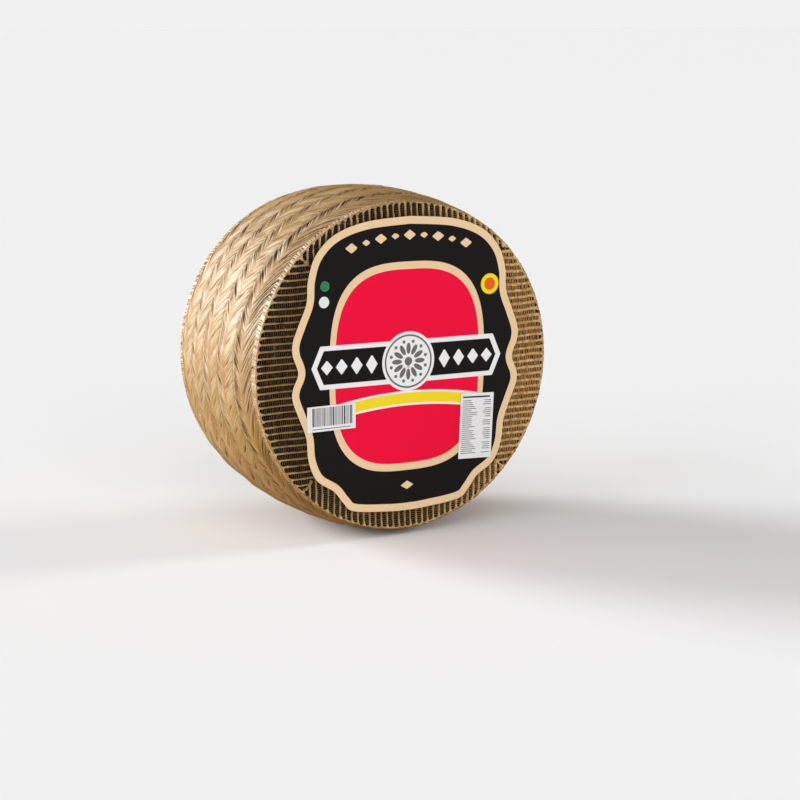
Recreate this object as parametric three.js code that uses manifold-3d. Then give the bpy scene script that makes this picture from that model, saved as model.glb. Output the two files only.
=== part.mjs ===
// A whole wheel of aged cheese, standing on its side: a rind with the print of a plaited mould
// round it, ribbed end faces, a paper label and two small stickers on the front face.
// Millimetres, +Z up. The wheel's axis runs along Y and the labelled face looks to -Y.
// The origin is on the ground, under the middle of the whole.

import * as THREE from 'three';
import Module from 'manifold-3d';
import { mergeVertices } from 'three/addons/utils/BufferGeometryUtils.js';

const wasm = await Module();
wasm.setup();

// Wheel
const RIM_RADIUS = 91.5;
const WIDTH = 97;
const BULGE = 4.8;
const UNEVEN = 0.5;
const FOOT_CUT = 1.2;

// Plait round the side: rows of leaning bundles, with a plain band along each rim
const EDGE_BAND = 4;
const ROWS = 10;
const BUNDLES = 48;
const ROW_SHIFT_IN_BUNDLES = 0.8;
const SLIT_HALF_WIDTH = 2.4;
const SLIT_DEPTH = 1.5;
const ROW_CROWN_DEPTH = 0.3;
const VALLEY_DEPTH = 0.7;
const FOOT_CLEAR_ANGLE = THREE.MathUtils.degToRad(10);
const FOOT_BLEND_ANGLE = THREE.MathUtils.degToRad(14);

// Ribs of the end faces, in four quarters
const RIB_PITCH = 3.72;
const CHANNEL_WIDTH = 2.6;
const CHANNEL_DRAFT = 0.3;
const CHANNEL_DEPTH = 1.2;
const RIM_EDGE = 0.6;
const DIAGONAL_GAP = 1;
const SHORTEST_CHANNEL = 2;
const CUT_MARGIN = 0.5;

// Paper on the front face
const GAP = 0.3;
const LABEL_THICKNESS = 0.5;
const LABEL_SHIFT = 1.2;
const LABEL_TURN = THREE.MathUtils.degToRad(0.7);
const LABEL_STEPS = 76;
const STICKER_THICKNESS = 0.3;
const CODE_STICKER = { width: 29.4, height: 13.9, x: -47, z: -23.8, turn: 0 };
const TABLE_STICKER = { width: 21.5, height: 37.2, x: 45.1, z: -37.4, turn: THREE.MathUtils.degToRad(2.8) };

// Half of the label's outline from its top to its foot, as [half width, height over the wheel's axis]
const LABEL_HALF = [
  [0, 82.7], [27.3, 80.5], [46.2, 74.3], [57.5, 63.8], [62.1, 51.1], [63, 38.7], [67.3, 27.9],
  [71.1, 17.7], [71, 10.5], [67.8, 1.2], [70.9, -7.2], [71.1, -13.6], [67.2, -23.5], [63, -34.5],
  [61.4, -47.7], [56.2, -58.6], [45.8, -65.7], [40.3, -72.3], [33.7, -77.8], [12.9, -80.3], [0, -80.8],
];

const ROW_WIDTH = (WIDTH - 2 * EDGE_BAND) / ROWS;
const BUNDLE_ANGLE = 2 * Math.PI / BUNDLES;
const LARGEST_RADIUS = RIM_RADIUS + BULGE;
const SLIT_HALF_ANGLE = SLIT_HALF_WIDTH / LARGEST_RADIUS;
const FOOT_LEVEL = FOOT_CUT - LARGEST_RADIUS;
const PAPER_BUILD_UP = 2 * GAP + LABEL_THICKNESS + STICKER_THICKNESS;
const FRONT = (PAPER_BUILD_UP - WIDTH) / 2;

const RIND = new THREE.MeshStandardMaterial({ color: 0xb8935a, roughness: 0.55, metalness: 0 });
const PRINTED_PAPER = new THREE.MeshStandardMaterial({ color: 0x262224, roughness: 0.4, metalness: 0 });
const WHITE_PAPER = new THREE.MeshStandardMaterial({ color: 0xe8e8ea, roughness: 0.5, metalness: 0 });

// How far the wheel is out of round at an angle, by two slow waves
function outOfRound(angle) {
  return UNEVEN * (0.6 * Math.cos(2 * angle + 0.8) + 0.4 * Math.sin(3 * angle));
}

// The outer radius of the rind, without its relief: a barrel's arc from rim to rim
function envelopeRadius(angle, across) {
  const s = across / WIDTH;
  return RIM_RADIUS + BULGE * 4 * s * (1 - s) + outOfRound(angle);
}

// The lines round the side that the plait is made on: both rims, each row's edges and its middle
function plaitLines() {
  const lines = [{ across: 0, shift: 0, kind: 'rim' }];
  for (let half = 0; half <= 2 * ROWS; half += 1) {
    const across = EDGE_BAND + half * ROW_WIDTH / 2;
    const phase = half % 4;
    const kind = ['valley', 'middle', 'crest', 'middle'][phase];
    const turns = [0, 0.5, 1, 0.5][phase] * ROW_SHIFT_IN_BUNDLES;
    lines.push({ across, shift: turns * BUNDLE_ANGLE, kind });
  }
  lines.push({ across: WIDTH, shift: 0, kind: 'rim' });
  return lines;
}

// How deep the rind is pressed in on a line, in a slit between bundles or on a bundle
function plaitDepth(kind, inSlit) {
  if (kind === 'middle') return inSlit ? SLIT_DEPTH : ROW_CROWN_DEPTH;
  if (kind === 'valley') return VALLEY_DEPTH;
  return 0;
}

// The share of the relief that is left near the foot, where the weight has pressed it flat
function reliefShare(angle) {
  const fromFoot = Math.abs(Math.atan2(Math.sin(angle + Math.PI / 2), Math.cos(angle + Math.PI / 2)));
  return THREE.MathUtils.smoothstep(fromFoot, FOOT_CLEAR_ANGLE, FOOT_BLEND_ANGLE);
}

// The points round one line: at each bundle a slit between its two edges
function linePoints({ across, shift, kind }) {
  const points = [];
  for (let bundle = 0; bundle < BUNDLES; bundle += 1) {
    for (const side of [-1, 0, 1]) {
      const angle = bundle * BUNDLE_ANGLE + side * SLIT_HALF_ANGLE + shift;
      const depth = plaitDepth(kind, side === 0) * reliefShare(angle);
      const radius = envelopeRadius(angle, across) - depth;
      const height = Math.max(radius * Math.sin(angle), FOOT_LEVEL);
      points.push(new THREE.Vector3(radius * Math.cos(angle), across, height));
    }
  }
  return points;
}

// Two facets over four corners, split along the shorter diagonal
function addQuad(facets, a, b, c, d) {
  if (a.distanceTo(c) < b.distanceTo(d)) {
    facets.push([a, b, c], [a, c, d]);
  } else {
    facets.push([a, b, d], [b, c, d]);
  }
}

function addSide(facets, lines) {
  for (let row = 1; row < lines.length; row += 1) {
    const near = lines[row - 1];
    const far = lines[row];
    near.forEach((point, i) => {
      const next = (i + 1) % near.length;
      addQuad(facets, point, far[i], far[next], near[next]);
    });
  }
}

// One channel's outline: from the diagonal of its quarter out to the rim's plain edge.
// inset narrows it on every side, for its floor
function channelOutline(offset, inset, quarter) {
  const outer = RIM_RADIUS - UNEVEN - RIM_EDGE - inset;
  const inner = DIAGONAL_GAP + inset;
  const halfWidth = CHANNEL_WIDTH / 2 - inset;
  const sides = [offset - halfWidth, offset + halfWidth];
  const corners = [
    [Math.abs(sides[0]) + inner, sides[0]],
    [Math.sqrt(outer ** 2 - sides[0] ** 2), sides[0]],
    [Math.sqrt(outer ** 2 - sides[1] ** 2), sides[1]],
    [Math.abs(sides[1]) + inner, sides[1]],
  ];
  const centre = new THREE.Vector2();
  const turn = quarter * Math.PI / 2;
  return corners.map(([along, aside]) => new THREE.Vector2(along, aside).rotateAround(centre, turn));
}

// Every channel of an end face, as its outline on the face and the smaller one of its floor
function channels() {
  const found = [];
  const most = Math.floor(RIM_RADIUS * Math.SQRT1_2 / RIB_PITCH);
  for (let quarter = 0; quarter < 4; quarter += 1) {
    for (let k = -most; k < most; k += 1) {
      const offset = (k + 0.5) * RIB_PITCH;
      const top = channelOutline(offset, 0, quarter);
      const floor = channelOutline(offset, CHANNEL_DRAFT, quarter);
      const shortest = Math.min(top[0].distanceTo(top[1]), top[2].distanceTo(top[3]));
      const inOrder = top[1].length() > top[0].length() && top[2].length() > top[3].length();
      if (inOrder && shortest > SHORTEST_CHANNEL) found.push({ top, floor });
    }
  }
  return found;
}

// A flat end face inside the rim. outward is -1 for the front face and 1 for the back
function addEndFace(facets, rim, outward) {
  const outline = rim.map((point) => new THREE.Vector2(point.x, point.z));
  for (const [a, b, c] of THREE.ShapeUtils.triangulateShape(outline, [])) {
    facets.push(outward < 0 ? [rim[a], rim[b], rim[c]] : [rim[a], rim[c], rim[b]]);
  }
}

// The closed body that a channel takes out of an end face, from just proud of it down to its floor
function addChannel(facets, { top, floor }, level, outward) {
  const lift = (point, depth) => new THREE.Vector3(point.x, level - outward * depth, point.y);
  const proud = top.map((point) => lift(point, -CUT_MARGIN));
  const sunk = floor.map((point) => lift(point, CHANNEL_DEPTH));
  const add = (a, b, c) => facets.push(outward < 0 ? [a, b, c] : [a, c, b]);
  add(proud[0], proud[1], proud[2]);
  add(proud[0], proud[2], proud[3]);
  add(sunk[0], sunk[2], sunk[1]);
  add(sunk[0], sunk[3], sunk[2]);
  proud.forEach((corner, i) => {
    const next = (i + 1) % 4;
    add(corner, sunk[next], proud[next]);
    add(corner, sunk[i], sunk[next]);
  });
}

function facetedGeometry(facets) {
  const geometry = new THREE.BufferGeometry().setFromPoints(facets.flat());
  const merged = mergeVertices(geometry);
  merged.computeVertexNormals();
  return merged;
}

function solidOf(facets) {
  const geometry = facetedGeometry(facets);
  const vertProperties = new Float32Array(geometry.attributes.position.array);
  const triVerts = new Uint32Array(geometry.index.array);
  return new wasm.Manifold(new wasm.Mesh({ numProp: 3, vertProperties, triVerts }));
}

function geometryOf(solid) {
  const { vertProperties, triVerts } = solid.getMesh();
  const geometry = new THREE.BufferGeometry();
  geometry.setAttribute('position', new THREE.BufferAttribute(vertProperties, 3));
  geometry.setIndex(new THREE.BufferAttribute(triVerts, 1));
  geometry.computeVertexNormals();
  return geometry;
}

function cheeseWheel() {
  const body = [];
  const lines = plaitLines().map(linePoints);
  addSide(body, lines);
  addEndFace(body, lines[0], -1);
  addEndFace(body, lines[lines.length - 1], 1);
  const cuts = [];
  for (const channel of channels()) {
    addChannel(cuts, channel, 0, -1);
    addChannel(cuts, channel, WIDTH, 1);
  }
  const mesh = new THREE.Mesh(geometryOf(solidOf(body).subtract(solidOf(cuts))), RIND);
  mesh.name = 'cheese_wheel';
  mesh.position.y = FRONT;
  return mesh;
}

// A flat piece of paper over the front face. back is how far its back stands off the face
function paper(name, outline, thickness, back, material) {
  const shape = new THREE.Shape(outline);
  const geometry = new THREE.ExtrudeGeometry(shape, { depth: thickness, bevelEnabled: false });
  geometry.rotateX(Math.PI / 2);
  const mesh = new THREE.Mesh(geometry, material);
  mesh.name = name;
  mesh.position.y = FRONT - back;
  return mesh;
}

function labelOutline() {
  const half = LABEL_HALF.map(([x, z]) => new THREE.Vector2(x, z));
  const mirrored = LABEL_HALF.slice(1, -1).reverse().map(([x, z]) => new THREE.Vector2(-x, z));
  const curve = new THREE.SplineCurve([...half, ...mirrored, half[0]]);
  return curve.getPoints(2 * LABEL_STEPS).slice(0, -1).reverse();
}

function frontLabel() {
  const mesh = paper('front_label', labelOutline(), LABEL_THICKNESS, GAP, PRINTED_PAPER);
  mesh.position.x = LABEL_SHIFT;
  mesh.rotation.y = LABEL_TURN;
  return mesh;
}

function sticker(name, { width, height, x, z, turn }) {
  const corners = [[-1, -1], [1, -1], [1, 1], [-1, 1]];
  const outline = corners.map(([a, b]) => new THREE.Vector2(a * width / 2, b * height / 2));
  const mesh = paper(name, outline, STICKER_THICKNESS, 2 * GAP + LABEL_THICKNESS, WHITE_PAPER);
  mesh.position.x = x;
  mesh.position.z = z;
  mesh.rotation.y = turn;
  return mesh;
}

const group = new THREE.Group();
group.add(cheeseWheel());
group.add(frontLabel());
group.add(sticker('code_sticker', CODE_STICKER));
group.add(sticker('table_sticker', TABLE_STICKER));
group.position.z = -FOOT_LEVEL;

export default group;
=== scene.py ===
"""A whole wheel of aged cheese on its side, with a plaited rind, ribbed end faces, a label and stickers.

The wheel's sizes are in millimetres, as in the model that it is built round; meshes are made in metres.
"""
import math

import bpy
import numpy as np
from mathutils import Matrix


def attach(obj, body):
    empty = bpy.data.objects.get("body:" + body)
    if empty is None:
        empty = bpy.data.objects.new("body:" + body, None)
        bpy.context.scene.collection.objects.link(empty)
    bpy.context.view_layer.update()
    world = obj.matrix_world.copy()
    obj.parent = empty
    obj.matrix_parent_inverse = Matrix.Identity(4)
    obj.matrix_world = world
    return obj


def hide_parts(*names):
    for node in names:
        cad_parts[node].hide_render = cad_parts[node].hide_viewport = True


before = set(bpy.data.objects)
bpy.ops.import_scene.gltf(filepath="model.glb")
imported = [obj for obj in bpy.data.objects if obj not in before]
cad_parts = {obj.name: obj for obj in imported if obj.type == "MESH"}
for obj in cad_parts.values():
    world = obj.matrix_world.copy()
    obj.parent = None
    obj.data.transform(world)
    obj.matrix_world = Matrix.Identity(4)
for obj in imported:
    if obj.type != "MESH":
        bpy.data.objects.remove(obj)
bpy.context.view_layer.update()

MM = 0.001

# Wheel, in millimetres. across and sunk run inwards from the labelled face, depth runs into the cheese
RIM_RADIUS = 91.5
WIDTH = 97.0
BULGE = 4.8
UNEVEN = 0.5
FOOT_CUT = 1.2
AXIS_HEIGHT = RIM_RADIUS + BULGE - FOOT_CUT
FRONT = -47.8

# Plait round the side. ROW_SHIFT, END_SHIFT and SLIT_HALF_WIDTH are in bundles
EDGE_BAND = 4.0
ROWS = 10
ROW_WIDTH = (WIDTH - 2 * EDGE_BAND) / ROWS
BUNDLES = 48
BUNDLE_ANGLE = 2 * math.pi / BUNDLES
BUNDLE_LENGTH = 12.6
STRANDS = 6
ALL_STRANDS = BUNDLES * STRANDS
ROW_SHIFT = 0.8
END_SHIFT = 0.6
CROWN_DEPTH = 0.35
VALLEY_DEPTH = 0.6
SLIT_HALF_WIDTH = 0.062
GROOVE_POWER = 2.6
STRAND_LIFT = 0.28
TUFT_LIFT = 0.12
STEPS_PER_STRAND = 9
COLUMNS = ALL_STRANDS * STEPS_PER_STRAND
STEPS_PER_ROW = 10
BAND_OVERLAP = 0.25
RIM_EDGE = 0.5
WALL = 5.0

# Slits beside the bundles, in rows that lean back and in the others. Places and lengths are shares of a row
SLIT_MIDDLE = (0.32, 0.68)
SLIT_HALF_LENGTH = (0.4, 0.28)
SLIT_DEPTH = (0.55, 0.8)
# How dark the slits are: brown deposit with painted shade
SLIT_DIRT_AND_SHADE = (0.45, 0.7)

# By row: the second row, others that lean back, the first row, others that lean forward
# Strength of the painted shade across each row, in that order
ROW_PAINTED_SHADE = (0.42, 0.3, 0.16, 0.04)
ROW_GROOVES = (1.3, 0.75, 1.5, 0.45)

# Slits and grooves: least open, with the least painted shade, round the angle below, where the side faces the
# light
FACING_LIGHT_ANGLE = math.radians(180)
FACING_LIGHT_SPREAD = 0.75
MOST_OPEN = 1.45
LEAST_OPEN = 0.6

# Ribbed end faces. Ribs and bars are wider on the right, by the values named MORE
RIB_PITCH = 3.72
CHANNEL_DEPTH = 1.7
CHANNEL_INSET = 0.75
CHANNEL_REACH = RIM_RADIUS - CHANNEL_INSET
PLATE_INSET = 0.3
LIP_INSET = 0.5
RIB_HALF_LEFT = 0.23
RIB_HALF_MORE = 0.33
CHANNEL_WALL = 0.6
LINES_PER_PITCH = 10
STEPS_ALONG = 60
BAR_PITCH = 1.15
BAR_HALF_LENGTH = 1.4
BAR_HALF_LEFT = 0.23
BAR_HALF_MORE = 0.09
BAR_LEAN = 0.1
THREAD_AT = 80.0

# Paper. A sticker has its width, height, middle (x, z) and turn, the label the points of its right half
LABEL_SHIFT = 1.2
LABEL_TURN = math.radians(0.7)
LABEL_BACK = 0.3
LABEL_FRONT = 0.8
STICKER_BACK = 1.1
STICKER_FRONT = 1.4
LEAVES = 12
CODE_STICKER = (29.4, 13.9, -47.0, -23.8, 0.0)
TABLE_STICKER = (21.5, 37.2, 45.1, -37.4, math.radians(2.8))
LABEL_HALF = (
    (0, 82.7), (27.3, 80.5), (46.2, 74.3), (57.5, 63.8), (62.1, 51.1), (63, 38.7), (67.3, 27.9),
    (71.1, 17.7), (71, 10.5), (67.8, 1.2), (70.9, -7.2), (71.1, -13.6), (67.2, -23.5), (63, -34.5),
    (61.4, -47.7), (56.2, -58.6), (45.8, -65.7), (40.3, -72.3), (33.7, -77.8), (12.9, -80.3), (0, -80.8),
)

# Colours of the rind, linear
PALE_STRAW = (0.48, 0.325, 0.143)
# Pale at the upper left of the side: a painted sheen
PALE_SHEEN_PAINT = (0.80, 0.73, 0.61)
GOLD_STRAW = (0.33, 0.165, 0.035)
OLIVE_STRAW = (0.25, 0.15, 0.035)
# Darker towards the front rim, most low down: painted shade
SHADED_FRONT_GOLD = (0.25, 0.13, 0.022)
# Deep gold at the foot: painted warm shade
FOOT_GOLD = (0.22, 0.085, 0.004)
GROOVE_GOLD = (0.27, 0.15, 0.05)
SLIT_BROWN = (0.05, 0.019, 0.004)
# Ribs tan on the left, painted shade, and gold with bright spots on the right, painted light
RIB_TAN = (0.27, 0.16, 0.06)
RIB_GOLD = (0.48, 0.24, 0.06)
RIB_LIGHT = (0.85, 0.56, 0.26)
# Pale rib ends near the rim: painted light
RIB_END = (0.66, 0.47, 0.25)
# Channels nearly black on the left, painted shade, and brown on the right
CHANNEL_BLACK = (0.017, 0.007, 0.0022)
CHANNEL_BROWN = (0.06, 0.021, 0.006)

# Colours of the paper, linear. Later inks lie over earlier ones
BLACK_INK = (0.0085, 0.0065, 0.0065)
PRINT_COLOURS = (
    ("tan", (0.85, 0.62, 0.375)), ("red", (0.9, 0.0025, 0.044)), ("band", BLACK_INK),
    ("white", (0.86, 0.86, 0.87)), ("grey", (0.16, 0.15, 0.15)), ("yellow", (0.93, 0.72, 0.02)),
    ("orange", (0.84, 0.12, 0.01)), ("pale", (0.80, 0.82, 0.80)), ("green", (0.03, 0.22, 0.09)),
)
STICKER_WHITE = (0.83, 0.83, 0.84)
STICKER_BLACK = (0.03, 0.03, 0.03)

# Camera, in metres and degrees
CAMERA_AT = (-0.5450, -0.9821, 0.2835)
CAMERA_LEFT = 30.09
CAMERA_DOWN = 10.84

# Studio: the sky's strength as a light and as the background seen, and the floor
SKY_LIGHT = 0.26
SKY_SEEN = 0.88
FLOOR_HALF = 40
FLOOR_WHITE = (0.87, 0.875, 0.89)


# Small helpers for shapes

def smooth(value, low, high):
    """0 below low, 1 above high, and the curve 3t^2 - 2t^3 between them."""
    t = np.clip((value - low) / (high - low), 0, 1)
    return t * t * (3 - 2 * t)


def ripple(a, b, length, seed):
    """Slow unevenness from about -1 to 1: the mean of seven sines in seeded directions, near one length."""
    rng = np.random.default_rng(seed)
    total = np.zeros(np.broadcast(a, b).shape)
    for _ in range(7):
        turn = rng.uniform(0, 2 * math.pi)
        pull = 2 * math.pi / (length * rng.uniform(0.7, 1.5))
        total += np.sin(pull * (a * math.cos(turn) + b * math.sin(turn)) + rng.uniform(0, 2 * math.pi))
    return total / 3.5


def out_of_round(angle):
    """The wheel's two slow waves round its edge, as in the model."""
    return UNEVEN * (0.6 * np.cos(2 * angle + 0.8) + 0.4 * np.sin(3 * angle))


def envelope(angle, across):
    """The rind's radius without relief: a barrel's arc from rim to rim, a little out of round."""
    s = across / WIDTH
    return RIM_RADIUS + BULGE * 4 * s * (1 - s) + out_of_round(angle)


def relief_share(angle):
    """1 away from the foot and 0 on it, where the weight has pressed the print flat."""
    from_foot = np.abs(np.arctan2(np.sin(angle + math.pi / 2), np.cos(angle + math.pi / 2)))
    return smooth(from_foot, math.radians(10), math.radians(14))


def wheel_point(angle, across, radius):
    """Angle, distance across and radius as x, y, z in millimetres, with the foot cut level."""
    x = radius * np.cos(angle)
    z = np.maximum(radius * np.sin(angle) + AXIS_HEIGHT, 0.0)
    y = np.broadcast_to(FRONT + across, x.shape)
    return np.stack([x, y, z], -1)


def ring_faces(rows, columns):
    """Quads of a grid of rows by columns that closes on itself both ways."""
    r = np.arange(rows)[:, None]
    c = np.arange(columns)[None, :]
    a = r * columns + c
    b = r * columns + (c + 1) % columns
    d = ((r + 1) % rows) * columns + c
    e = ((r + 1) % rows) * columns + (c + 1) % columns
    return np.stack([a, b, e, d], -1).reshape(-1, 4)


def grid_faces(rows, columns, first):
    """Quads of an open grid of rows by columns whose first point has the number first."""
    i = np.arange(rows - 1)[:, None]
    j = np.arange(columns - 1)[None, :]
    a = first + i * columns + j
    return np.stack([a, a + 1, a + 1 + columns, a + columns], -1).reshape(-1, 4)


def to_side(points, back):
    """The points in place: as they are in front, mirrored through the wheel's middle at the back."""
    if back:
        points[:, 1] = 2 * FRONT + WIDTH - points[:, 1]
    return points


def padded(values, extra, rest):
    """Values as one list, with the value rest for each of the extra points that close a piece."""
    return np.concatenate([values.ravel(), np.full(extra, float(rest))])


def as_triangles(faces):
    """Quads split into two triangles each. Triangles stay."""
    return np.concatenate([faces[:, [0, 1, 2]], faces[:, [0, 2, 3]]]) if faces.shape[1] == 4 else faces


def outward(points, groups):
    """The groups of faces, all turned round if the volume they close comes out negative."""
    volume = 0.0
    for faces in groups:
        t = as_triangles(faces)
        a, b, c = points[t[:, 0]], points[t[:, 1]], points[t[:, 2]]
        volume += float(np.einsum("ij,ij->", a, np.cross(b, c)))
    return [g[:, ::-1] for g in groups] if volume < 0 else groups


def build(name, points, groups, materials, values=None, flat_map=None, kinds=None):
    """A mesh from points in millimetres and arrays of quads or triangles, with point values and a map."""
    groups = [np.asarray(g) for g in groups if len(g)]
    mesh = bpy.data.meshes.new(name)
    mesh.vertices.add(len(points))
    mesh.vertices.foreach_set("co", (points * MM).astype(np.float32).ravel())
    loops = np.concatenate([g.ravel() for g in groups]).astype(np.int32)
    sizes = np.concatenate([np.full(len(g), g.shape[1]) for g in groups])
    starts = np.concatenate([[0], np.cumsum(sizes)[:-1]]).astype(np.int32)
    mesh.loops.add(len(loops))
    mesh.loops.foreach_set("vertex_index", loops)
    mesh.polygons.add(len(sizes))
    mesh.polygons.foreach_set("loop_start", starts)
    mesh.polygons.foreach_set("use_smooth", np.ones(len(sizes), bool))
    if kinds is not None:
        mesh.polygons.foreach_set("material_index", np.asarray(kinds, np.int32))
    for key, data in (values or {}).items():
        layer = mesh.attributes.new(key, "FLOAT", "POINT")
        layer.data.foreach_set("value", np.asarray(data, np.float32).ravel())
    if flat_map is not None:
        layer = mesh.uv_layers.new(name="strands")
        layer.data.foreach_set("uv", flat_map[loops].astype(np.float32).ravel())
    mesh.update(calc_edges=True)
    for material in materials:
        mesh.materials.append(material)
    piece = bpy.data.objects.new(name, mesh)
    bpy.context.scene.collection.objects.link(piece)
    return piece


def weld(points, groups, values):
    """Points that lie on one another become one, and faces that collapse become triangles or go."""
    keys = np.round(points * 2000).astype(np.int64)
    _, first, back = np.unique(keys, axis=0, return_index=True, return_inverse=True)
    back = back.ravel()
    quads, triangles = [], []
    for faces in groups:
        f = back[faces]
        if f.shape[1] == 3:
            triangles.append(f)
            continue
        same = f == np.roll(f, -1, axis=1)
        quads.append(f[~same.any(1)])
        for corner in range(4):
            hit = same[:, corner] & (same.sum(1) == 1)
            keep = [k for k in range(4) if k != corner]
            triangles.append(f[hit][:, keep])
    quads = np.concatenate(quads)
    triangles = np.concatenate(triangles)
    distinct = (triangles[:, 0] != triangles[:, 1]) & (triangles[:, 1] != triangles[:, 2])
    distinct &= triangles[:, 0] != triangles[:, 2]
    return points[first], [quads, triangles[distinct]], {k: np.ravel(v)[first] for k, v in values.items()}


# Plaited side

def zigzag(place):
    """How far the strands have shifted at a place across, in bundles: to and fro from a valley to a crest.

    The wave is arcsin(s * -cos(pi * place)), a zigzag whose corners are slightly round. The first and the
    last row lean more.
    """
    sharpness = 0.999
    wave = np.arcsin(sharpness * -np.cos(math.pi * place)) / math.asin(sharpness)
    steeper = END_SHIFT * (np.clip(1 - place, 0, 1) + np.clip(place - ROWS + 1, 0, 1))
    return ROW_SHIFT * (wave + 1) / 2 - steeper


def by_row(row, second, other_back, first, other_forward):
    """Values by row: odd rows lean back, and the first two rows differ from the others of their lean."""
    back = np.where(row == 1, second, other_back)
    return np.where(row % 2 == 1, back, np.where(row == 0, first, other_forward))


def row_shade(place):
    """Painted shade on the rows, a bell curve across each: most where they lean back."""
    row = np.clip(np.floor(place), 0, ROWS - 1)
    up = np.where(row % 2 == 1, 1 - (place - row), place - row)
    return by_row(row, *ROW_PAINTED_SHADE) * np.exp(-((up - 0.38) / 0.25) ** 2)


def openness(angle):
    """How open slits and grooves are: least in the middle of the left side, which faces the light, so their
    painted shade is weakest there.
    """
    from_clean = np.abs(np.arctan2(np.sin(angle - FACING_LIGHT_ANGLE), np.cos(angle - FACING_LIGHT_ANGLE)))
    return MOST_OPEN - (MOST_OPEN - LEAST_OPEN) * np.exp(-(from_clean / FACING_LIGHT_SPREAD) ** 2)


def strand_at(row, turn):
    """The number of the strand at a place, and how far across the strand it lies, from 0 to 1.

    Two sines make the strands uneven in width, and a row's strands are set off from those of the last row.
    """
    whole = 2 * math.pi * turn / BUNDLES
    uneven = turn * STRANDS + 0.22 * np.sin(85 * whole + 2.1 * row) + 0.18 * np.sin(131 * whole + 4.4 * row)
    uneven = uneven + 0.38 * row
    return np.floor(uneven).astype(int) % ALL_STRANDS, uneven % 1


def main_slit(back, up, v, place_draw, width_draw):
    """The slit beside a bundle, from 0 to 1: a spindle along the row, exp(-|v / width|^2.6) across it."""
    centre = np.where(back, *SLIT_MIDDLE) + 0.12 * (place_draw - 0.5)
    half_length = np.where(back, *SLIT_HALF_LENGTH)
    spindle = np.clip(1 - ((up - centre) / half_length) ** 2, 0, 1)
    width = SLIT_HALF_WIDTH * (0.7 + 0.6 * width_draw) * np.sqrt(spindle + 1e-6) + 0.01
    return spindle * np.exp(-np.abs(v / width) ** GROOVE_POWER)


def plait_relief(place, turn, opened):
    """Depth, tone, and dirt with painted shade, of the plait. place counts rows across, turn counts bundles
    along the strands.

    A bundle is crowned, as (1 - |2v|)^2 for a place v across it, and has a slit beside it, near the valley in
    rows that lean back and near the crest in the others. Strands lie between grooves, |2f - 1|^2.6 for a
    place f across a strand. Each has its own height and tone, and every three share a little of theirs.
    """
    row = np.clip(np.floor(place), 0, ROWS - 1).astype(int)
    t = np.clip(place - row, 0, 1)
    back = row % 2 == 1
    up = np.where(back, 1 - t, t)
    bundle = np.floor(turn + 0.5).astype(int) % BUNDLES
    v = (turn + 0.5) % 1 - 0.5
    strand, f = strand_at(row, turn)
    rng = np.random.default_rng(11)
    slit_draw = rng.random((ROWS, BUNDLES))[row, bundle]
    width_draw = rng.random((ROWS, BUNDLES))[row, bundle]
    lift = rng.random((ROWS, ALL_STRANDS))[row, strand]
    shade = rng.random((ROWS, ALL_STRANDS))[row, strand]
    gap = rng.random((ROWS, ALL_STRANDS))[row, strand]
    tuft = rng.random((ROWS, ALL_STRANDS // 3))[row, strand // 3]
    crown = CROWN_DEPTH * (1 - np.abs(2 * v)) ** 2 * np.sin(math.pi * t)
    valley = VALLEY_DEPTH * np.clip(1 - up / 0.5, 0, 1) ** 2
    near_slit = np.exp(-(v / 0.24) ** 2)
    strong = by_row(row, *ROW_GROOVES)
    cut = opened * strong * (0.35 + 0.9 * gap * np.where(back, near_slit, 0.4 + 0.6 * near_slit))
    along = (0.3 + 0.7 * smooth(1 - up, 0.04, 0.36)) * (0.6 + 0.4 * smooth(up, 0.0, 0.2))
    groove = cut * along * np.abs(2 * f - 1) ** GROOVE_POWER
    slit = main_slit(back, up, v, slit_draw, width_draw) * np.where(row < 3, 1.0, 0.6) * opened
    depth = slit * np.where(back, *SLIT_DEPTH) * (0.7 + 0.6 * slit_draw) + crown + valley + groove
    depth = depth + (STRAND_LIFT * (lift - 0.5) + TUFT_LIFT * (0.5 - tuft)) * along
    tone = (shade - 0.5 + 0.35 * (tuft - 0.5)) * (0.4 + 0.6 * along) * np.sqrt(strong)
    # Darker towards each crest: painted shade that tempers the light the crests catch
    tone = 0.5 + tone - 0.42 * smooth(up, 0.72, 0.95)
    # Darker in slits, grooves, the valley and lower strands: brown deposit with painted shade
    dirt_and_shade = slit * np.where(back, *SLIT_DIRT_AND_SHADE) + groove * 1.15 + 0.1 * valley + 0.3 * (0.5 - lift) * along
    return depth, tone, np.clip(dirt_and_shade, 0, 1)


def strand_turns():
    """Each column's place round the wheel in bundles, from the foot on."""
    return np.arange(COLUMNS) / (STRANDS * STEPS_PER_STRAND) - BUNDLES / 4


def strand_map(turn, across, extra):
    """The piece's own map in centimetres: along the edge, and across it. Extra points lie at its origin."""
    laid = np.stack([turn * BUNDLE_LENGTH, across], -1).reshape(-1, 2) / 10
    return np.concatenate([laid, np.zeros((extra, 2))])


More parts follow.
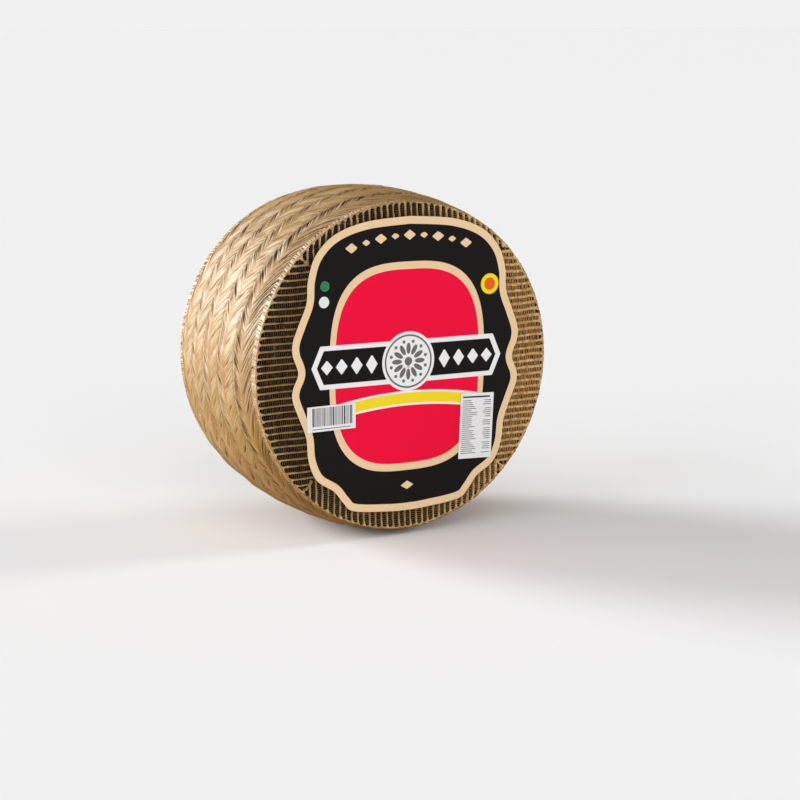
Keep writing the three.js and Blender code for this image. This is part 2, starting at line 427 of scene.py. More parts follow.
def plait_band(number, material):
    """Two rows of the plait, from valley to valley, as a closed ring body with a plain inner wall."""
    steps = 2 * STEPS_PER_ROW
    place = 2 * number + np.linspace(0, 2, steps + 1)
    rows = place.copy()
    rows[0] -= BAND_OVERLAP / ROW_WIDTH
    rows[-1] += BAND_OVERLAP / ROW_WIDTH
    across = EDGE_BAND + rows * ROW_WIDTH
    turn, down = np.meshgrid(strand_turns(), place)
    angle = (turn + zigzag(down)) * BUNDLE_ANGLE
    depth, tone, dirt_and_shade = plait_relief(down, turn + 1e-6, openness(angle))
    dirt_and_shade = np.clip(0.9 * dirt_and_shade + row_shade(down), 0, 1)
    wide = np.broadcast_to(across[:, None], angle.shape)
    depth = depth + 0.25 * ripple(angle * RIM_RADIUS, wide, 24, 5)
    depth[[0, -1]] += 0.3
    radius = envelope(angle, wide) - depth * relief_share(angle)
    outer = wheel_point(angle, wide, radius)
    inner = [wheel_point(angle[k], wide[k], envelope(angle[k], wide[k]) - WALL) for k in (-1, 0)]
    for wall in inner:
        wall[:, 2] = np.maximum(wall[:, 2], WALL - 1)
    points = np.concatenate([outer.reshape(-1, 3), *inner])
    extra = 2 * COLUMNS
    values = {"tone": padded(tone, extra, 0.5), "dirt_and_shade": padded(dirt_and_shade, extra, 1)}
    groups = outward(points, [ring_faces(steps + 3, COLUMNS)])
    flat_map = strand_map(turn, wide, extra)
    return build(f"plait_band_{number + 1}", points, groups, [material], values, flat_map)


def rim_section():
    """The rim's section, line by line: how deep it has sunk, its share of the way out, and its rounding."""
    flat = np.linspace(0, 1, 4)[:-1]
    bend = np.linspace(0, math.pi / 2, 5)
    side = np.linspace(RIM_EDGE, EDGE_BAND + BAND_OVERLAP, 7)[1:]
    sunk = np.concatenate([0 * flat, RIM_EDGE * (1 - np.cos(bend)), side])
    out = np.concatenate([flat, np.ones(len(bend) + len(side))])
    rounding = np.concatenate([0 * flat, RIM_EDGE * np.sin(bend), 0 * side + RIM_EDGE])
    return sunk, out[:, None], rounding[:, None]


def rim_ring(name, back, material):
    """The band along a rim with its rounded edge, from the ribbed face round to the first row.

    The first row's strands run on over it and out over the edge, a quarter circle, where they wear smooth.
    """
    section, out, rounding = rim_section()
    turn, sunk = np.meshgrid(strand_turns(), section)
    to_rim = np.clip(EDGE_BAND - sunk, 0, None) / EDGE_BAND
    angle = (turn + 0.06 * to_rim - END_SHIFT) * BUNDLE_ANGLE
    depth, tone, dirt_and_shade = plait_relief(0.2 * to_rim, turn + 1e-6, openness(angle))
    kept = smooth(sunk, 0, 1.1)
    around = angle * RIM_RADIUS
    swell = 0.3 * ripple(around, 0 * angle, 13, 31 + back) + 0.25 * ripple(around, 0 * angle, 4, 35)
    share = relief_share(angle)
    base = envelope(angle, 0.0)
    lip = base - LIP_INSET - RIM_EDGE * 0.2 + 0.1 * ripple(around, 0 * angle, 7, 41 + back)
    radius = lip + (base - RIM_EDGE - lip) * out + rounding + (envelope(angle, sunk) - base)
    radius = radius - share * out * (swell * (1 - kept) * 0.6 + depth * (0.2 + 0.8 * kept))
    outer = wheel_point(angle, 0, radius)
    outer[..., 1] = FRONT + sunk + 0.12 * share * (1 - kept) * out * (tone - 0.4)
    low = wheel_point(angle[-1], EDGE_BAND + BAND_OVERLAP, radius[0] - WALL)
    top = wheel_point(angle[0], 0.9, radius[0] - 0.2)
    points = to_side(np.concatenate([outer.reshape(-1, 3), low, top]), back)
    # Paler along the edge, and more so on the right: painted light on the right
    rim_light_share = rightness(RIM_RADIUS * np.cos(angle), back)
    tone = tone * (0.3 + 0.7 * kept) + (0.25 + 0.6 * rim_light_share) * (1 - kept) + 0.05
    dirt_and_shade = dirt_and_shade * (0.3 + 0.7 * kept) + 0.35 * (1 - out)
    extra = 2 * COLUMNS
    values = {"tone": padded(tone, extra, 0.4), "dirt_and_shade": padded(dirt_and_shade, extra, 1)}
    groups = outward(points, [ring_faces(len(outer) + 2, COLUMNS)])
    return build(name, points, groups, [material], values, strand_map(turn, sunk, extra))


# Ribbed end faces

def sideways(along, aside, quarter, back):
    """How far a rib wanders sideways, in millimetres. It starts at nothing on its quarter's diagonal."""
    start = smooth(along - np.abs(aside), 0, 8)
    return 0.28 * start * ripple(along, aside * 0.35 + 40 * quarter, 26, 51 + back)


def rightness(x, back):
    """0 on the left of a face and 1 on its right, seen from in front of it."""
    return smooth(-x if back else x, 5, 75)


def face_relief(along, aside, x, z, back):
    """Depth and dirt with painted shade of the ribbed face: channels with ragged, rounded outer ends between
    thin ribs.

    A channel's wall is a smooth step from its rib. Ribs are narrow on the left and wide on the right. Their
    height is uneven, and a low thread crosses them near their ends.
    """
    from_middle = np.abs((aside / RIB_PITCH) % 1 - 0.5) * RIB_PITCH
    right = rightness(x, back)
    rib = RIB_HALF_LEFT + RIB_HALF_MORE * right + 0.14 * ripple(x, z, 7, 61 + back)
    wall = smooth(RIB_PITCH / 2 - from_middle, rib, rib + CHANNEL_WALL)
    ragged = ripple(x, z, 3.2, 121 + back)
    inner = along - np.abs(aside) - 0.2 - 1.2 * ragged
    reach = envelope(np.arctan2(z, x), 0.0) - CHANNEL_INSET + 0.45 * ragged
    outer = np.sqrt(np.maximum(reach ** 2 - aside ** 2, 0)) - along - 0.45 * from_middle ** 2
    ends = smooth(inner / (1.5 - 0.8 * right), 0, 1) * smooth(outer, 0, 0.7)
    length = np.sqrt(np.maximum(CHANNEL_REACH ** 2 - aside ** 2, 0)) - np.abs(aside)
    cut = wall * ends * smooth(length, 1, 2)
    depth = CHANNEL_DEPTH * cut * (0.92 + 0.12 * ripple(x, z, 11, 81 + back))
    from_thread = along - THREAD_AT - 0.8 * ripple(aside, 0 * aside, 17, 91 + back)
    thread = np.exp(-(from_thread / 0.5) ** 2)
    depth = depth - thread * (0.3 + 0.25 * cut)
    cut = cut * (1 - 0.5 * thread)
    worn = 0.16 * ripple(x, z, 5, 101 + back) + 0.12 * ripple(x, z, 2.6, 111 + back)
    return depth + (1 - cut) * (0.12 + worn) * smooth(along - np.abs(aside), 0, 3), cut


def steps_along():
    """Shares of a rib's length: even steps with closer ones at both ends, where the channels close."""
    even = np.linspace(0, 1, STEPS_ALONG + 1)
    return even - 0.055 * np.sin(4 * math.pi * even)


def plate_reach(angle):
    """How far a ribbed plate reaches from the wheel's axis, just inside the rim's rounded edge."""
    return envelope(angle, 0.0) - PLATE_INSET


def turned(along, aside, turn):
    """A place along a quarter's middle line and aside from it as x and z from the wheel's axis."""
    return along * np.cos(turn) - aside * np.sin(turn), along * np.sin(turn) + aside * np.cos(turn)


def face_quarter(quarter, inner_lines, back):
    """One quarter of a face as a grid of points, with its dirt and painted shade and its nearness to the rim.
    """
    turn = quarter * math.pi / 2
    corners = [plate_reach(turn + side * math.pi / 4) * math.sqrt(0.5) for side in (-1, 1)]
    lines = np.concatenate([[-corners[0]], inner_lines, [corners[1]]])
    aside, share = np.meshgrid(lines, steps_along(), indexing="ij")
    first = np.abs(aside)
    reach = plate_reach(turn + np.arcsin(np.clip(aside / RIM_RADIUS, -1, 1)))
    last = np.sqrt(np.maximum(reach ** 2 - aside ** 2, first ** 2))
    last[[0, -1]] = first[[0, -1]]
    along = first + (last - first) * share
    moved = aside + sideways(along, aside, quarter, back) * smooth(last - along, 0, 4)
    x, z = turned(along, moved, turn)
    depth, cut = face_relief(along, aside, x, z, back)
    depth = depth + 0.15 * smooth(last - along, 0.5, 0)
    edge = smooth(np.hypot(x, z) - envelope(np.arctan2(z, x), 0.0), -9, -0.5)
    return np.stack([x, FRONT + depth, z + AXIS_HEIGHT], -1), cut, edge


def face_plate(name, back, material):
    """One ribbed end face as a closed plate: four quarters of ribs that meet on the diagonals."""
    lines = int((RIM_RADIUS - UNEVEN - PLATE_INSET) * math.sqrt(0.5) / RIB_PITCH * LINES_PER_PITCH)
    inner_lines = np.arange(-lines, lines + 1) * RIB_PITCH / LINES_PER_PITCH
    quarters = [face_quarter(quarter, inner_lines, back) for quarter in range(4)]
    rows, columns = quarters[0][1].shape
    starts = [rows * columns * quarter for quarter in range(4)]
    groups = [grid_faces(rows, columns, start) for start in starts]
    rim = np.concatenate([start + np.arange(rows - 1) * columns + columns - 1 for start in starts])
    face = np.concatenate([grid.reshape(-1, 3) for grid, _, _ in quarters])
    wall = face[rim].copy()
    wall[:, 1] = FRONT + WALL
    points = to_side(np.concatenate([face, wall, [[0, FRONT + WALL, AXIS_HEIGHT]]]), back)
    n = len(face)
    here = np.arange(len(rim))
    after = np.roll(here, -1)
    groups.append(np.stack([rim[here], rim[after], n + after, n + here], -1))
    groups.append(np.stack([n + here, n + after, np.full(len(rim), n + len(rim))], -1))
    dirt_and_shade = padded(np.concatenate([cut.ravel() for _, cut, _ in quarters]), len(rim) + 1, 1)
    edge = padded(np.concatenate([near.ravel() for _, _, near in quarters]), len(rim) + 1, 1)
    points, groups, values = weld(points, groups, {"dirt_and_shade": dirt_and_shade, "edge": edge})
    return build(name, points, outward(points, groups), [material], values)


def label_reach(angle):
    """The label's half width in a direction from the wheel's axis, in millimetres."""
    outline = label_outline()
    around = np.arctan2(outline[:, 1], outline[:, 0])
    order = np.argsort(around)
    return np.interp(angle, around[order], np.hypot(outline[:, 0], outline[:, 1])[order], period=2 * math.pi)


def bar_spots(rng):
    """The bars' places in every channel, unevenly spaced by seeded draws: along, aside and quarter."""
    spots = []
    most = int(RIM_RADIUS * math.sqrt(0.5) / RIB_PITCH)
    for quarter in range(4):
        for k in range(-most, most):
            offset = (k + 0.5) * RIB_PITCH
            stop = math.sqrt(CHANNEL_REACH ** 2 - offset ** 2) - 1.1
            at = abs(offset) + 3.0 + rng.random() * 0.8
            while at < stop:
                spots.append((at, offset, quarter))
                at += BAR_PITCH * (0.86 + 0.28 * rng.random())
    return np.array(spots).T


BAR_SECTION = np.array([(-1.5, 0.3), (-1, -0.45), (-0.4, -1), (0.4, -1), (1, -0.45), (1.5, 0.3)])


def bar_corners(along, aside, turn, half, high, lean):
    """The corners of bars whose section, six points of half a hump, runs from one side wall to the other."""
    corners = []
    for end in (-1, 1):
        for a, up in BAR_SECTION:
            reach = BAR_HALF_LENGTH + (0.05 if up > 0 else 0)
            x, z = turned(along + a * half + end * lean, aside + end * reach, turn)
            depth = CHANNEL_DEPTH + (up * high if up < 0 else np.full(len(along), 0.3))
            corners.append(np.stack([x, FRONT + depth, z + AXIS_HEIGHT], -1))
    return np.stack(corners, 1)


def cross_bars(name, back, material):
    """The small bars across the channels: low humps, joined into one piece, with none under the label."""
    rng = np.random.default_rng(131 + back)
    along, aside, quarter = bar_spots(rng)
    wander = np.array([float(sideways(a, s, int(q), back)) for a, s, q in zip(along, aside, quarter)])
    turn = quarter * math.pi / 2
    x, z = turned(along, aside, turn)
    if not back:
        shown = np.hypot(x, z) > label_reach(np.arctan2(z, x)) - 4
        along, aside, wander, turn, x, z = (v[shown] for v in (along, aside, wander, turn, x, z))
    right = rightness(x, back)
    high = CHANNEL_DEPTH * (0.64 + 0.16 * right + 0.12 * rng.standard_normal(len(along)))
    half = (BAR_HALF_LEFT + BAR_HALF_MORE * right) * (0.9 + 0.3 * rng.random(len(along)))
    lean = BAR_LEAN * rng.standard_normal(len(along))
    points = bar_corners(along, aside + wander, turn, half, high, lean).reshape(-1, 3)
    n = len(BAR_SECTION)
    side = np.array([(k, (k + 1) % n, n + (k + 1) % n, n + k) for k in range(n)])
    caps = np.array([(0, 5, 4, 1), (1, 4, 3, 2), (6, 7, 10, 11), (7, 8, 9, 10)])
    base = (np.arange(len(along)) * 2 * n)[:, None, None]
    groups = [(side[None] + base).reshape(-1, 4), (caps[None] + base).reshape(-1, 4)]
    top = np.tile(BAR_SECTION[:, 1], 2) < -0.9
    # Bar tops paler on the right, painted light, and towards the foot of the face; their sides dark, residue
    # with painted shade
    paler_tops = np.maximum(right, 0.7 * smooth(-z, 45, 85))
    dirt_and_shade = np.where(top[None], (0.6 - 0.3 * paler_tops)[:, None], 0.95)
    points = to_side(points, back)
    return build(name, points, outward(points, groups), [material], {"dirt_and_shade": dirt_and_shade})


# Paper

def label_outline(steps=720):
    """The label's outline: a smooth curve through half its points and their mirror images."""
    half = [np.array(p, float) for p in LABEL_HALF]
    mirror = [np.array((-p[0], p[1])) for p in half[-2:0:-1]]
    ring = half + mirror + [half[0]]
    last = len(ring) - 1
    found = []
    for k in range(steps):
        place = k / steps * last
        i = int(place)
        w = place - i
        p0, p1 = ring[max(i - 1, 0)], ring[i]
        p2, p3 = ring[min(i + 1, last)], ring[min(i + 2, last)]
        v0, v1 = (p2 - p0) / 2, (p3 - p1) / 2
        cubic = (2 * p1 - 2 * p2 + v0 + v1) * w ** 3 + (-3 * p1 + 3 * p2 - 2 * v0 - v1) * w ** 2
        found.append(cubic + v0 * w + p1)
    return np.array(found)


def inside_by(points, outline):
    """How far each point lies from a closed outline, in millimetres."""
    best = np.full(len(points), 1e9)
    for a, b in zip(outline, np.roll(outline, -1, axis=0)):
        step = b - a
        t = np.clip(((points - a) @ step) / (step @ step), 0, 1)
        best = np.minimum(best, np.hypot(*(points - a - t[:, None] * step).T))
    return best


def print_fields(x, z, edge):
    """Signed distances in millimetres to the fields of colour on the label: positive inside a field.

    A cushion-shaped red panel with a tan rim lies under a straight black band with white rules, a round white
    medallion with a wreath of leaves, and rows of lozenges. Plain discs and short rules fill the black field.
    """
    def disc(cx, cz, r):
        return r - np.hypot(x - cx, z - cz)

    def lozenge(cx, cz, w, h):
        return (1 - np.abs(x - cx) / w - np.abs(z - cz) / h) * min(w, h) * 0.75

    rise = 3.0
    cushion = (np.abs(x / 49) ** 3 + np.abs(z / 58) ** 3) ** (1 / 3)
    panel = (1 - cushion) * 51
    tan = np.maximum(4.2 - edge, panel)
    for place in (-36, -27, -18, -9, 0, 9, 18, 27, 36):
        big = 1.5 if place % 18 == 0 else 1.0
        tan = np.maximum(tan, lozenge(place, 72.5 - 0.0045 * place ** 2, 2.6 * big, 1.9 * big))
    tan = np.maximum(tan, lozenge(0, -66.5, 4.2, 2.4))
    red = panel - 3.6
    off = np.abs(z - rise)
    band = np.minimum(10.5 - off, 58 - np.abs(x) - 0.45 * off)
    outer = np.minimum(11.8 - off, 60 - np.abs(x) - 0.45 * off)
    swag = np.abs(z + 17.5 + 0.0022 * x ** 2)
    white = np.maximum(disc(0, rise, 16.5), np.minimum(outer, 1.3 - band))
    white = np.maximum(white, np.minimum(4.1 - swag, red))
    for side in (-1, 1):
        for place in (23, 32.3, 41.6, 50.6):
            white = np.maximum(white, lozenge(side * place, rise, 3.6, 6.6 - 0.05 * place))
    grey = 0.5 - np.abs(disc(0, rise, 14.4))
    for k in range(LEAVES):
        turn = 2 * math.pi * k / LEAVES
        u = x * math.cos(turn) + (z - rise) * math.sin(turn) - 7.2
        w = -x * math.sin(turn) + (z - rise) * math.cos(turn)
        grey = np.maximum(grey, (1 - (u / 3.1) ** 2 - (w / 1.35) ** 2) * 0.6)
        aside = turn + math.pi / LEAVES
        grey = np.maximum(grey, disc(11.2 * math.cos(aside), rise + 11.2 * math.sin(aside), 0.95))
    grey = np.maximum(grey, disc(0, rise, 2.4))
    yellow = np.maximum(disc(52.0, 43.0, 5.8), np.minimum(2.9 - swag, red))
    orange = disc(52.0, 43.0, 3.5)
    green = disc(-52.0, 47.0, 2.7)
    pale = np.maximum(disc(-52.5, 38.5, 3.1), green)
    return {"tan": tan, "red": red, "band": outer, "white": white, "grey": grey,
            "yellow": yellow, "orange": orange, "green": green, "pale": pale}


def label_wave(x, z, edge):
    """How far the label stands off its plane, in millimetres: ribs under its edge lift it a little."""
    near = np.exp(-edge / 5)
    return near * (0.10 + 0.12 * ripple(x, z, 18, 151)) + 0.02 * ripple(x, z, 30, 152)


def front_label(material):
    """The label as a closed sheet on rings that shrink towards its middle, closest at both ends."""
    outline = label_outline()
    share = np.concatenate([
        np.linspace(0, 0.28, 38)[1:], np.linspace(0.28, 0.86, 50)[1:], np.linspace(0.86, 1, 20)[1:],
    ])
    flat = (outline[None] * share[:, None, None]).reshape(-1, 2)
    flat = np.concatenate([[[0.0, 0.0]], flat])
    n = len(outline)
    edge = inside_by(flat, outline)
    fields = print_fields(flat[:, 0], flat[:, 1], edge)
    lift = label_wave(flat[:, 0], flat[:, 1], edge)
    c, s = math.cos(LABEL_TURN), math.sin(LABEL_TURN)

    def placed(xz, stand):
        x = xz[:, 0] * c + xz[:, 1] * s + LABEL_SHIFT
        z = -xz[:, 0] * s + xz[:, 1] * c + AXIS_HEIGHT
        return np.stack([x, FRONT - stand, z], -1)

    front = placed(flat, LABEL_FRONT + lift)
    last = slice(len(flat) - n, len(flat))
    behind = placed(flat[last], LABEL_BACK + lift[last])
    middle = placed(np.zeros((1, 2)), np.array([LABEL_BACK]))
    points = np.concatenate([front, behind, middle])
    here = np.arange(n)
    nxt = np.roll(here, -1)
    rings = [np.stack([1 + r * n + here, 1 + r * n + nxt, 1 + (r + 1) * n + nxt, 1 + (r + 1) * n + here], -1)
             for r in range(len(share) - 1)]
    rings.append(np.stack([len(flat) - n + here, len(flat) - n + nxt, len(flat) + nxt, len(flat) + here], -1))
    fans = [np.stack([np.zeros(n, int), 1 + here, 1 + nxt], -1),
            np.stack([len(flat) + here, len(flat) + nxt, np.full(n, len(points) - 1)], -1)]
    quads = np.concatenate(rings)
    pad = len(points) - len(flat)
    values = {k: np.concatenate([v, np.full(pad, -9.0)]) for k, v in fields.items()}
    groups = outward(points, [quads, np.concatenate(fans)])
    return build("label_sheet", points, groups, [material], values)


def box_points(x0, x1, y0, y1, z0, z1):
    """The eight corners of a box, in the order that BOX_FACES expects."""
    return np.array([(x, y, z) for x in (x0, x1) for y in (y0, y1) for z in (z0, z1)], float)


BOX_FACES = np.array([(0, 1, 3, 2), (4, 6, 7, 5), (0, 4, 5, 1), (2, 3, 7, 6), (0, 2, 6, 4), (1, 5, 7, 3)])


def sticker(name, size, marks, paper_material, ink):
    """A small sheet with its printed marks as thin raised boxes: (left, right, foot, top) from its centre."""
    width, height, x, z, turn = size
    boxes = [box_points(-width / 2, width / 2, -STICKER_FRONT, -STICKER_BACK, -height / 2, height / 2)]
    for left, right, low, high in marks:
        boxes.append(box_points(left, right, -STICKER_FRONT - 0.02, -STICKER_FRONT + 0.05, low, high))
    points = np.concatenate(boxes)
    faces = np.concatenate([BOX_FACES + 8 * k for k in range(len(boxes))])
    kinds = np.repeat([0] + [1] * len(marks), 6)
    c, s = math.cos(turn), math.sin(turn)
    placed = np.stack([
        points[:, 0] * c + points[:, 2] * s + x,
        points[:, 1] + FRONT,
        -points[:, 0] * s + points[:, 2] * c + z + AXIS_HEIGHT,
    ], -1)
    piece = build(name, placed, outward(placed, [faces]), [paper_material, ink], kinds=kinds)
    piece.data.polygons.foreach_set("use_smooth", np.zeros(len(faces), bool))
    return piece


def code_marks():
    """Upright bars of seeded widths, with a plain line under them in place of figures."""
    rng = np.random.default_rng(161)
    width, height = CODE_STICKER[:2]
    marks = []
    at = -width / 2 + 3.0
    while at < width / 2 - 2.6:
        bar = rng.choice([0.28, 0.28, 0.56, 0.84])
        marks.append((at, at + bar, -height / 2 + 2.9, height / 2 - 0.9))
        at += bar + rng.choice([0.28, 0.4, 0.6])
    marks.append((-width / 2 + 3.0, width / 2 - 3.0, -height / 2 + 1.2, -height / 2 + 1.55))
    return marks


def table_marks():
    """Short rules in lines, as in a table, with a heavier one at the head."""
    rng = np.random.default_rng(171)
    width, height = TABLE_STICKER[:2]
    marks = [(-width / 2 + 1.2, width / 2 - 2.5, height / 2 - 2.6, height / 2 - 1.7)]
    z = height / 2 - 4.4
    while z > -height / 2 + 2:
        first = -width / 2 + 1.2
        marks.append((first, first + rng.uniform(5, 10), z, z + 0.35))
        if rng.random() > 0.3:
            marks.append((width / 2 - rng.uniform(5, 7), width / 2 - 1.5, z, z + 0.35))
        z -= 1.15
    return marks


# Materials

def new_group(name, outputs):
    """A shader node group that puts out numbers, and its output node."""
    group = bpy.data.node_groups.new(name, "ShaderNodeTree")
    for label in outputs:
        group.interface.new_socket(name=label, in_out="OUTPUT", socket_type="NodeSocketFloat")
    return group, group.nodes.new("NodeGroupOutput")


def noise(tree, vector, scale, detail=3.0, roughness=0.55):
    """Noise from 0 to 1. scale counts its cells in one unit of the vector."""
    node = tree.nodes.new("ShaderNodeTexNoise")
    node.inputs["Scale"].default_value = scale
    node.inputs["Detail"].default_value = detail
    node.inputs["Roughness"].default_value = roughness
    tree.links.new(vector, node.inputs["Vector"])
    return node.outputs["Fac"]


def math_node(tree, operation, a, b, clamp=False):
    """One operation on two sockets."""
    node = tree.nodes.new("ShaderNodeMath")
    node.operation = operation
    node.use_clamp = clamp
    for socket, value in zip(node.inputs, (a, b)):
        if isinstance(value, (int, float)):
            socket.default_value = value
        else:
            tree.links.new(value, socket)
    return node.outputs[0]


def span(tree, value, low, high, to_low=0.0, to_high=1.0):
    """The value's place between low and high, as a number from to_low to to_high, held at both ends."""
    node = tree.nodes.new("ShaderNodeMapRange")
    node.inputs["From Min"].default_value = low
    node.inputs["From Max"].default_value = high
    node.inputs["To Min"].default_value = to_low
    node.inputs["To Max"].default_value = to_high
    tree.links.new(value, node.inputs["Value"])
    return node.outputs["Result"]


def mix(tree, share, a, b):
    """Colour a, or b where share is 1. Each may be a socket or a plain value."""
    node = tree.nodes.new("ShaderNodeMix")
    node.data_type = "RGBA"
    for socket, value in ((node.inputs["Factor"], share), (node.inputs["A"], a), (node.inputs["B"], b)):
        if isinstance(value, (int, float)):
            socket.default_value = value
        elif isinstance(value, tuple):
            socket.default_value = (*value, 1.0)
        else:
            tree.links.new(value, socket)
    return node.outputs["Result"]


def object_place(tree, axis):
    """One axis of the object coordinates."""
    place = tree.nodes.new("ShaderNodeSeparateXYZ")
    tree.links.new(tree.nodes.new("ShaderNodeTexCoord").outputs["Object"], place.inputs["Vector"])
    return place.outputs[axis]


def attribute(tree, name):
    """A value that the piece carries on its points."""
    node = tree.nodes.new("ShaderNodeAttribute")
    node.attribute_name = name
    return node.outputs["Fac"]


def new_material(name, roughness, specular, colour=None):
    """A material with its node tree and shader, in one colour where that is given."""
    material = bpy.data.materials.new(name)
    material.use_nodes = True
    shader = material.node_tree.nodes["Principled BSDF"]
    shader.inputs["Roughness"].default_value = roughness
    shader.inputs["Specular IOR Level"].default_value = specular
    if colour is not None:
        shader.inputs["Base Color"].default_value = (*colour, 1)
    return material, material.node_tree, shader


def add_bump(tree, shader, height, strength, distance):
    """Fine bump on top of the modelled relief, distance in metres."""
    bump = tree.nodes.new("ShaderNodeBump")
    bump.inputs["Strength"].default_value = strength
    bump.inputs["Distance"].default_value = distance
    tree.links.new(height, bump.inputs["Height"])
    tree.links.new(bump.outputs["Normal"], shader.inputs["Normal"])


def blotch_group():
    """Slow and fine blotches on the rind: a mask of each, from object coordinates."""
    group, end = new_group("rind_blotches", ("Slow", "Fine"))
    place = group.nodes.new("ShaderNodeTexCoord").outputs["Object"]
    group.links.new(span(group, noise(group, place, 38.0, 3.0), 0.35, 0.68), end.inputs["Slow"])
    group.links.new(span(group, noise(group, place, 420.0, 4.0, 0.6), 0.3, 0.7), end.inputs["Fine"])
    return group


def use_group(tree, group):
    """A node that holds the group."""
    node = tree.nodes.new("ShaderNodeGroup")
    node.node_tree = group
    return node


def fibres(tree):
    """Fine fibres along the strands, from the piece's own map stretched across them."""
    uv = tree.nodes.new("ShaderNodeUVMap")
    uv.uv_map = "strands"
    stretch = tree.nodes.new("ShaderNodeMapping")
    stretch.inputs["Scale"].default_value = (10.0, 1.3, 1.0)
    tree.links.new(uv.outputs["UV"], stretch.inputs["Vector"])
    return noise(tree, stretch.outputs["Vector"], 1.6, 3.0, 0.6)


def plait_material(blotches):
    """Straw-coloured strands that differ from one another, brown in the slits, with a silky wax on top.

    They are darker towards the front rim, most low down, and deep gold at the foot: both painted shade.
    They are pale at the upper left, a painted sheen. The brown in the slits and grooves is partly painted
    shade.
    """
    material, tree, shader = new_material("plaited_rind", 0.5, 0.4)
    blotch = use_group(tree, blotches)
    tone = attribute(tree, "tone")
    dirt_and_shade = attribute(tree, "dirt_and_shade")
    x, y, z = (object_place(tree, axis) for axis in "XYZ")
    fibre = fibres(tree)
    shade = math_node(tree, "ADD", math_node(tree, "MULTIPLY", tone, 0.75),
                      span(tree, fibre, 0.3, 0.7, -0.3, 0.48), True)
    strands = mix(tree, shade, GOLD_STRAW, PALE_STRAW)
    strands = mix(tree, span(tree, blotch.outputs["Slow"], 0, 1, 0.0, 0.5), strands, OLIVE_STRAW)
    # Darker towards the front rim, most low down: painted shade
    near_front = span(tree, y, 0.02, -0.045)
    front_shade = math_node(tree, "MULTIPLY", near_front, span(tree, z, 0.15, 0.03, 0.0, 0.5))
    front_shade = math_node(tree, "ADD", front_shade, span(tree, y, -0.034, -0.046, 0.0, 0.22))
    strands = mix(tree, front_shade, strands, SHADED_FRONT_GOLD)
    # Deep gold towards the foot: painted warm shade
    strands = mix(tree, span(tree, z, 0.055, 0.0, 0.0, 0.95), strands, FOOT_GOLD)
    # Paler at the upper left of the side, most on the paler strands: a painted sheen
    painted_sheen = math_node(tree, "MULTIPLY", span(tree, x, -0.01, -0.085), span(tree, z, 0.06, 0.16, 0.0, 0.75))
    painted_sheen = math_node(tree, "MULTIPLY", painted_sheen, span(tree, shade, 0.25, 0.8, 0.1, 1.0))
    strands = mix(tree, painted_sheen, strands, PALE_SHEEN_PAINT)
    spots = span(tree, blotch.outputs["Fine"], 0, 1, -0.12, 0.12)
    # Dark in slits and grooves: brown deposit with painted shade
    pressed = span(tree, math_node(tree, "ADD", dirt_and_shade, spots), 0.12, 0.85)
    strands = mix(tree, span(tree, pressed, 0, 0.5, 0.0, 0.8), strands, GROOVE_GOLD)
    strands = mix(tree, span(tree, pressed, 0.3, 1.0), strands, SLIT_BROWN)
    tree.links.new(strands, shader.inputs["Base Color"])
    tree.links.new(span(tree, pressed, 0, 1, 0.5, 0.85), shader.inputs["Roughness"])
    tree.links.new(span(tree, z, 0.02, 0.14, 0.12, 0.4), shader.inputs["Specular IOR Level"])
    add_bump(tree, shader, fibre, 0.35, 0.00025)
    return material


def face_material(blotches, back):
    """Tan ribs with pale ends over dark channels, nearly black on the left and brown on the right.

    The dark left is painted shade; the gold ribs with bright spots on the right and the pale rib ends are
    painted light.
    """
    material, tree, shader = new_material("ribbed_rind_back" if back else "ribbed_rind", 0.5, 0.22)
    blotch = use_group(tree, blotches)
    slow, fine = blotch.outputs["Slow"], blotch.outputs["Fine"]
    left, far_right = (0.01, -0.075) if back else (-0.01, 0.075)
    # From left to right, painted shade gives way to painted light on ribs and channels
    right = span(tree, object_place(tree, "X"), left, far_right)
    lit = span(tree, fine, 0.35, 0.75, 0.0, 0.9)
    ribs = mix(tree, right, RIB_TAN, mix(tree, lit, RIB_GOLD, RIB_LIGHT))
    ribs = mix(tree, span(tree, slow, 0, 1, 0.0, 0.3), ribs, OLIVE_STRAW)
    # Rib ends paler towards the rim: painted light
    pale_end = math_node(tree, "MULTIPLY", attribute(tree, "edge"), span(tree, fine, 0.2, 0.9))
    ribs = mix(tree, pale_end, ribs, RIB_END)
    channels = mix(tree, right, CHANNEL_BLACK, CHANNEL_BROWN)
    spots = span(tree, fine, 0, 1, -0.14, 0.14)
    # Dark in the channels: residue with painted shade
    pressed = span(tree, math_node(tree, "ADD", attribute(tree, "dirt_and_shade"), spots), 0.18, 0.8)
    tree.links.new(mix(tree, pressed, ribs, channels), shader.inputs["Base Color"])
    tree.links.new(span(tree, pressed, 0, 1, 0.45, 0.7), shader.inputs["Roughness"])
    add_bump(tree, shader, fine, 0.3, 0.0003)
    return material


def label_material():
    """Printed paper: fields of plain colour over a near-black ground, each cut at its own outline."""
    material, tree, shader = new_material("label_print", 0.42, 0.09)
    colour = BLACK_INK
    for name, ink in PRINT_COLOURS:
        share = span(tree, attribute(tree, name), -0.07, 0.07)
        colour = mix(tree, share, colour, ink)
    tree.links.new(colour, shader.inputs["Base Color"])
    return material


# Studio

def camera():
    """A 90 mm lens on a 36 mm frame, 30 degrees to the left of the face and 11 degrees above it."""
    data = bpy.data.cameras.new("camera")
    data.lens = 90
    data.sensor_width = 36
    item = bpy.data.objects.new("camera", data)
    bpy.context.scene.collection.objects.link(item)
    item.location = CAMERA_AT
    item.rotation_euler = (math.radians(90 - CAMERA_DOWN), 0, -math.radians(CAMERA_LEFT))
    bpy.context.scene.camera = item


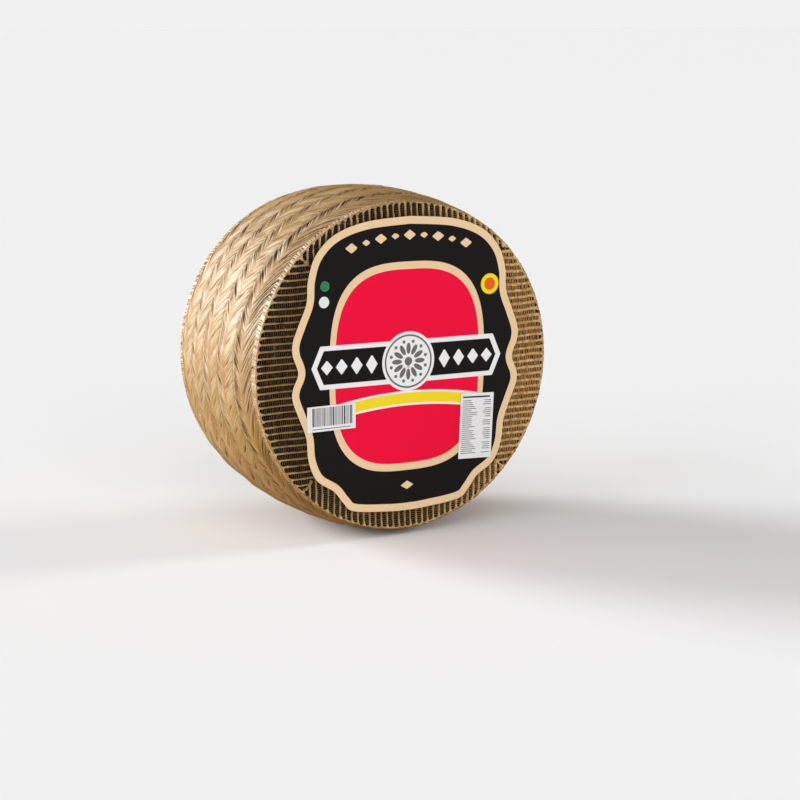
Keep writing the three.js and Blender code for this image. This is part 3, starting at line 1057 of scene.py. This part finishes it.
def sun(name, toward, spread, strength, colour=(1, 1, 1)):
    """A far soft light. toward points from the wheel to the light, spread is its width in degrees."""
    data = bpy.data.lights.new(name, "SUN")
    data.angle = math.radians(spread)
    data.energy = strength
    data.color = colour
    item = bpy.data.objects.new(name, data)
    bpy.context.scene.collection.objects.link(item)
    x, y, z = toward
    item.rotation_euler = (math.atan2(math.hypot(x, y), z), 0, math.atan2(y, x) + math.pi / 2)


def sky():
    """A pale sky that looks brighter than the light it gives."""
    world = bpy.data.worlds.new("studio")
    bpy.context.scene.world = world
    world.use_nodes = True
    ground = world.node_tree.nodes["Background"]
    ground.inputs["Color"].default_value = (1.0, 1.0, 1.005, 1.0)
    seen = world.node_tree.nodes.new("ShaderNodeLightPath").outputs["Is Camera Ray"]
    strength = span(world.node_tree, seen, 0, 1, SKY_LIGHT, SKY_SEEN)
    world.node_tree.links.new(strength, ground.inputs["Strength"])


def studio():
    """A plain pale floor under a pale sky, with far soft lights that leave the floor even."""
    sky()
    mesh = bpy.data.meshes.new("floor")
    corners = [(x * FLOOR_HALF, y * FLOOR_HALF, 0) for x, y in ((-1, -1), (1, -1), (1, 1), (-1, 1))]
    mesh.from_pydata(corners, [], [(0, 1, 2, 3)])
    mesh.materials.append(new_material("floor_paper", 0.9, 0.1, FLOOR_WHITE)[0])
    floor = bpy.data.objects.new("floor", mesh)
    bpy.context.scene.collection.objects.link(floor)
    sun("left_window", (-0.55, 0.76, 0.3), 25, 3.1)
    sun("left_side", (-0.9, -0.1, 0.3), 45, 1.2)
    sun("left_low", (-0.85, 0.45, 0.15), 25, 1.2, (1.0, 0.95, 0.87))
    sun("right_edge", (0.95, -0.18, 0.3), 20, 1.4, (1.0, 0.95, 0.86))
    sun("front_fill", (-0.3, -0.85, 0.45), 60, 1.0)
    scene = bpy.context.scene
    scene.view_settings.view_transform = "Standard"
    scene.view_settings.look = "None"


# Assembly

def keep(piece, node, slot):
    """The piece rides on the wheel and stands in for a node. slot is not used."""
    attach(piece, "root")
    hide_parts(node)


def assemble():
    """The camera and studio, then every piece of the wheel and its paper."""
    camera()
    studio()
    blotches = blotch_group()
    plait = plait_material(blotches)
    for number in range(ROWS // 2):
        keep(plait_band(number, plait), "cheese_wheel", "rind")
    for back in (0, 1):
        end = "back" if back else "front"
        ribbed = face_material(blotches, back)
        keep(rim_ring(f"{end}_rim", back, plait), "cheese_wheel", "rind")
        keep(face_plate(f"{end}_face", back, ribbed), "cheese_wheel", "rind")
        keep(cross_bars(f"{end}_cross_bars", back, ribbed), "cheese_wheel", "rind")
    keep(front_label(label_material()), "front_label", "printed_paper")
    paper = new_material("sticker_paper", 0.5, 0.3, STICKER_WHITE)[0]
    ink = new_material("sticker_ink", 0.5, 0.3, STICKER_BLACK)[0]
    keep(sticker("bar_sticker", CODE_STICKER, code_marks(), paper, ink), "code_sticker", "white_paper")
    keep(sticker("rule_sticker", TABLE_STICKER, table_marks(), paper, ink), "table_sticker", "white_paper")


assemble()
